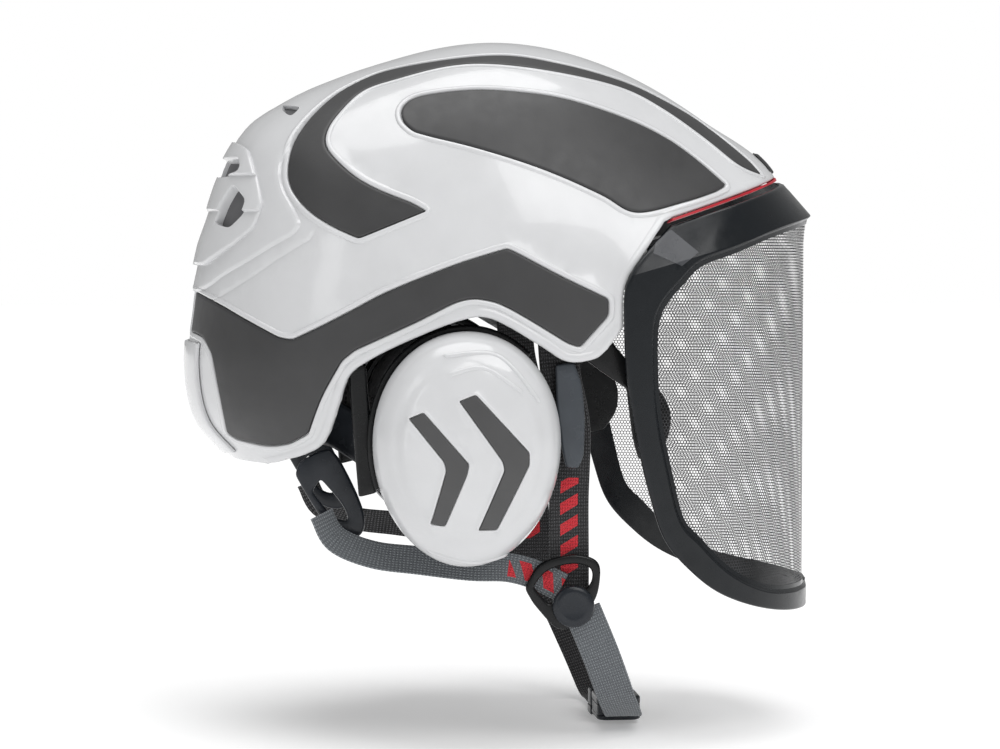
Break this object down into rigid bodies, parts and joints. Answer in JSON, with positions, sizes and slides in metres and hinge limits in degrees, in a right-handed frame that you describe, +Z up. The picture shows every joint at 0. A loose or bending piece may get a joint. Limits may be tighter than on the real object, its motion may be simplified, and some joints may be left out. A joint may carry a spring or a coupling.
{
  "type": "forestry helmet",
  "caption": "Hard hat shell with inset panels, a flip-up mesh face visor, swing-out ear muffs, an inner suspension and a chin strap with a side-release buckle.",
  "frame": {"origin": "centre of the head opening at headband level, where the wearer's head holds the helmet", "axes": "+Z up out of the crown, -Y forward through the visor, +X to the wearer's left"},
  "size_m": [0.2484, 0.312, 0.3374],
  "materials": {
    "shell_white": "gloss moulded shell",
    "panel_grey": "satin",
    "charcoal_plastic": "satin moulded",
    "black_plastic": "semi-gloss",
    "liner_black": "matt",
    "seal_red": "satin",
    "visor_mesh": "black etched sheet",
    "webbing_black": "woven",
    "webbing_grey": "ribbed weave",
    "padding": "spacer fabric",
    "ear_pad": "soft film over foam"
  },
  "bodies": {
    "shell": {"outer_shell": "shell_white", "stripe_insert_right": "panel_grey", "stripe_insert_left": "panel_grey", "leaf_insert_right": "panel_grey", "leaf_insert_left": "panel_grey", "lower_insert_right": "panel_grey", "lower_insert_left": "panel_grey", "rear_vent_cover": "shell_white", "rear_bumper": "shell_white", "inner_liner": "liner_black", "front_seal": "seal_red", "front_catch": "panel_grey", "headband": "black_plastic", "sweatband": "padding", "crown_cradle": "webbing_black", "crown_pad": "padding", "nape_cradle": "charcoal_plastic", "nape_pad": "padding", "strap_hanger_right": "charcoal_plastic", "strap_hanger_left": "charcoal_plastic", "adjuster_housing": "charcoal_plastic", "front_strap_right": "webbing_black", "front_strap_left": "webbing_black", "strap_guide_right": "charcoal_plastic", "strap_guide_left": "charcoal_plastic", "rear_strap_right": "webbing_grey", "rear_strap_left": "webbing_grey", "strap_divider_right": "charcoal_plastic", "strap_divider_left": "charcoal_plastic", "divider_cap_right": "charcoal_plastic", "divider_cap_left": "charcoal_plastic", "chin_strap_right": "webbing_grey", "chin_strap_left": "webbing_grey", "buckle_socket": "charcoal_plastic"},
    "visor_arms": {"visor_arm_right": "black_plastic", "visor_arm_left": "black_plastic"},
    "visor": {"visor_frame": "charcoal_plastic", "visor_mesh": "visor_mesh"},
    "muff_right": {"muff_arm_right": "charcoal_plastic", "muff_yoke_right": "black_plastic"},
    "muff_left": {"muff_arm_left": "charcoal_plastic", "muff_yoke_left": "black_plastic"},
    "cup_right": {"cup_shell_right": "shell_white", "chevron_small_right": "panel_grey", "chevron_large_right": "panel_grey", "cup_plate_right": "black_plastic", "ear_cushion_right": "ear_pad"},
    "cup_left": {"cup_shell_left": "shell_white", "chevron_small_left": "panel_grey", "chevron_large_left": "panel_grey", "cup_plate_left": "black_plastic", "ear_cushion_left": "ear_pad"},
    "knob": {"adjuster_knob": "black_plastic"},
    "rack_right": {"rack_right": "black_plastic"},
    "rack_left": {"rack_left": "black_plastic"},
    "plug": {"buckle_plug": "charcoal_plastic"},
    "button": {"buckle_button": "black_plastic"}
  },
  "joints": [
    {"name": "visor_lift", "type": "hinge", "parent": "shell", "child": "visor_arms", "pos_m": [0, -0.056, -0.022], "axis": [-1, 0, 0], "range_deg": [0, 62]},
    {"name": "visor_extend", "type": "slide", "parent": "visor_arms", "child": "visor", "axis": [0, -0.8192, 0.5736], "range_m": [0, 0.036]},
    {"name": "muff_swing_right", "type": "hinge", "parent": "shell", "child": "muff_right", "pos_m": [-0.0895, 0.052, -0.066], "axis": [0, 0, -1], "range_deg": [0, 45]},
    {"name": "muff_swing_left", "type": "hinge", "parent": "shell", "child": "muff_left", "pos_m": [0.0895, 0.052, -0.066], "axis": [0, 0, 1], "range_deg": [0, 45]},
    {"name": "cup_tilt_right", "type": "hinge", "parent": "muff_right", "child": "cup_right", "pos_m": [-0.0975, 0.001, -0.074], "axis": [0, 1, 0], "range_deg": [-4, 4]},
    {"name": "cup_tilt_left", "type": "hinge", "parent": "muff_left", "child": "cup_left", "pos_m": [0.0975, 0.001, -0.074], "axis": [0, 1, 0], "range_deg": [-4, 4]},
    {"name": "knob_turn", "type": "hinge", "parent": "shell", "child": "knob", "pos_m": [0, 0.11, -0.014], "axis": [0, 1, 0], "range_deg": [-80, 110]},
    {"name": "rack_slide_right", "type": "slide", "parent": "shell", "child": "rack_right", "axis": [1, 0, 0], "range_m": [-0.007, 0.009]},
    {"name": "rack_slide_left", "type": "slide", "parent": "shell", "child": "rack_left", "axis": [-1, 0, 0], "range_m": [-0.007, 0.009]},
    {"name": "buckle_unplug", "type": "slide", "parent": "shell", "child": "plug", "axis": [1, 0, 0], "range_m": [0, 0.022]},
    {"name": "button_press", "type": "slide", "parent": "shell", "child": "button", "axis": [0, 0, -1], "range_m": [0, 0.0012], "stiffness_N_per_m": 400}
  ],
  "couplings": [
    {"joint": "visor_extend", "follows": "visor_lift", "m_per_rad": 0.032},
    {"joint": "rack_slide_right", "follows": "knob_turn", "m_per_rad": 0.0045},
    {"joint": "rack_slide_left", "follows": "knob_turn", "m_per_rad": 0.0045}
  ]
}
